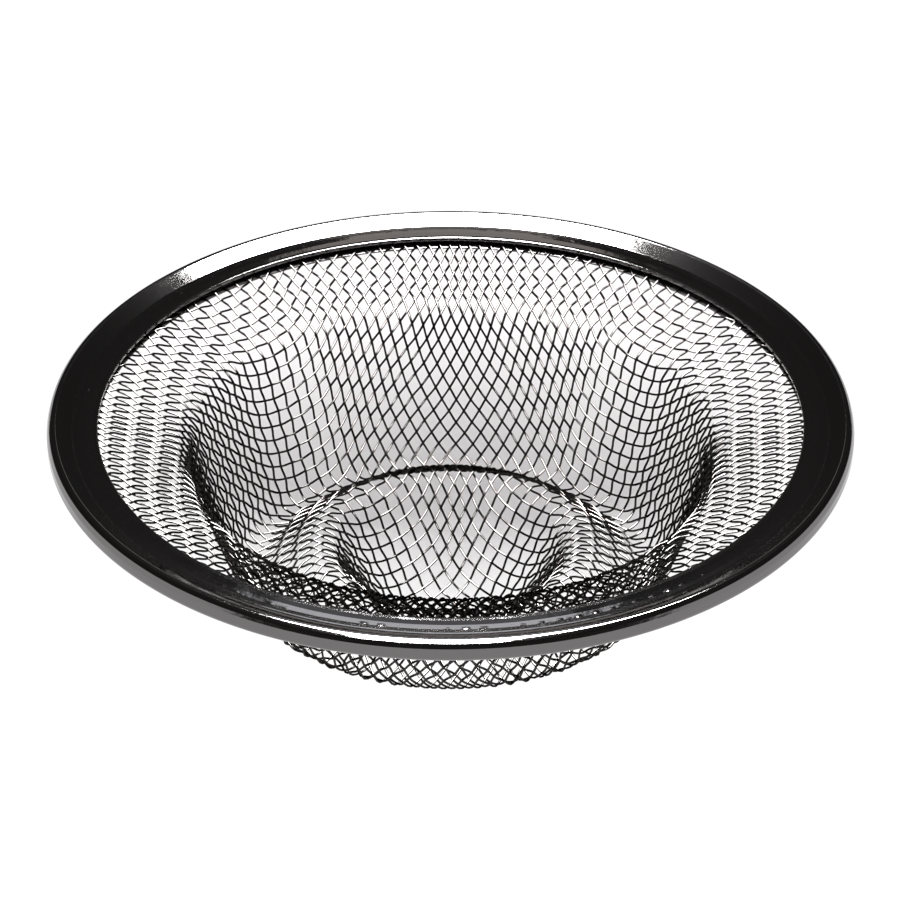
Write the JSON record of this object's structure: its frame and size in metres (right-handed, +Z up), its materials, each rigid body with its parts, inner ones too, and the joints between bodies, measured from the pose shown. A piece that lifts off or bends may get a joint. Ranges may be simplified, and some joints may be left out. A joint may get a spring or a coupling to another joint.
{
  "type": "basket strainer",
  "caption": "Round drain basket strainer: dished woven wire basket with a raised ring round a deeper centre well, held in a polished sheet metal rim with a rolled bead.",
  "frame": {"origin": "on the strainer's axis at the lowest point of the basket, which is the centre of the footprint's bottom", "axes": "+Z up along the strainer's axis, towards the open mouth; +X and +Y across the rim, with the pictured front towards -Y"},
  "size_m": [0.114, 0.114, 0.0357],
  "materials": {
    "rim_steel": "polished stainless steel sheet, dark mirror",
    "clamp_steel": "mill finish stainless steel sheet",
    "wire_steel": "bright drawn stainless steel wire"
  },
  "bodies": {
    "root": {"rim_ring": "rim_steel", "clamp_ring": "clamp_steel", "wire_cloth": "wire_steel"}
  },
  "joints": []
}
